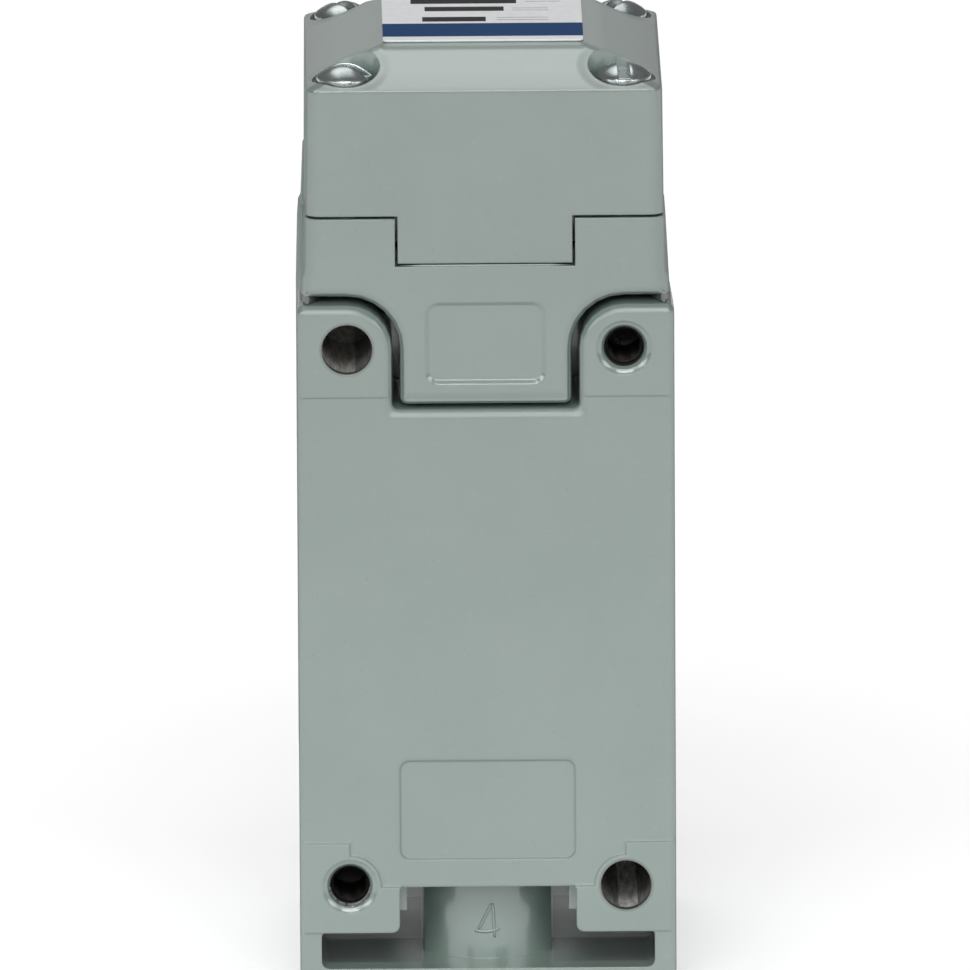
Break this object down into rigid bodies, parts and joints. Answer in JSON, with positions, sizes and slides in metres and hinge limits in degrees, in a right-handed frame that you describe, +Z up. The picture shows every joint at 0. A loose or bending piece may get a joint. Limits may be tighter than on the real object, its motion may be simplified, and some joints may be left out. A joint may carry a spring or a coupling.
{
  "type": "rotary limit switch",
  "caption": "Plug-in rotary limit switch in a die-cast housing: wiring receptacle, switch body and a head with a side shaft for a lever.",
  "frame": {"origin": "centre of the four mounting holes on the rear mounting plane", "axes": "+Z up along the housing, +Y out of the rear mounting plane, the shaft points to -Y"},
  "size_m": [0.0408, 0.0599, 0.1042],
  "materials": {
    "enamel": "smooth semi-gloss grey-green enamel on die-cast zinc",
    "rubber": "matt black",
    "moulding": "black thermoset moulding",
    "brass": "bright rolled strip",
    "bronze": "sintered bronze bearing",
    "zinc": "bright zinc plate",
    "green_steel": "green passivated steel",
    "steel": "machined steel",
    "label": "printed film"
  },
  "bodies": {
    "housing": {"receptacle": "enamel", "receptacle_gasket": "rubber", "terminal_block": "moulding", "jaw_contact_1": "brass", "jaw_contact_2": "brass", "jaw_contact_3": "brass", "jaw_contact_4": "brass", "terminal_screw_1": "zinc", "terminal_screw_2": "zinc", "terminal_screw_3": "zinc", "terminal_screw_4": "zinc", "ground_screw": "green_steel", "switch_body": "enamel", "body_screw_1": "zinc", "body_screw_2": "zinc", "switch_block": "moulding", "block_cover": "moulding", "block_screw_1": "zinc", "block_screw_2": "zinc", "fixed_contact_1": "brass", "fixed_contact_2": "brass", "fixed_contact_3": "brass", "fixed_contact_4": "brass", "contact_spring": "steel", "pin_seal": "rubber", "head_gasket": "rubber", "head_housing": "enamel", "head_screw_1": "zinc", "head_screw_2": "zinc", "head_screw_3": "zinc", "head_screw_4": "zinc", "plunger_guide": "zinc", "return_spring": "steel", "shaft_bush": "bronze", "shaft_seal": "rubber", "label": "label"},
    "shaft": {"actuator_shaft": "steel", "operating_cam": "steel", "shaft_clip": "steel"},
    "plunger": {"return_plunger": "steel"},
    "pin": {"operating_pin": "steel"},
    "carrier": {"contact_carrier": "moulding", "bridge_contact_nc": "brass", "bridge_contact_no": "brass"}
  },
  "joints": [
    {"name": "shaft_turn", "type": "hinge", "parent": "housing", "child": "shaft", "pos_m": [0, -0.02, 0.0524], "axis": [0, 1, 0], "range_deg": [-90, 90], "stiffness_Nm_per_rad": 0.02},
    {"name": "plunger_stroke", "type": "slide", "parent": "housing", "child": "plunger", "axis": [0, 0, -1], "range_m": [0, 0.0012], "stiffness_N_per_m": 600, "springref_m": -0.001, "deforming": ["return_spring"]},
    {"name": "pin_stroke", "type": "slide", "parent": "housing", "child": "pin", "axis": [0, 0, -1], "range_m": [0, 0.0012]},
    {"name": "carrier_stroke", "type": "slide", "parent": "housing", "child": "carrier", "axis": [0, 0, -1], "range_m": [0, 0.0012], "deforming": ["contact_spring"]}
  ],
  "couplings": [
    {"joint": "pin_stroke", "follows": "plunger_stroke", "ratio": 1},
    {"joint": "carrier_stroke", "follows": "plunger_stroke", "ratio": 1}
  ]
}
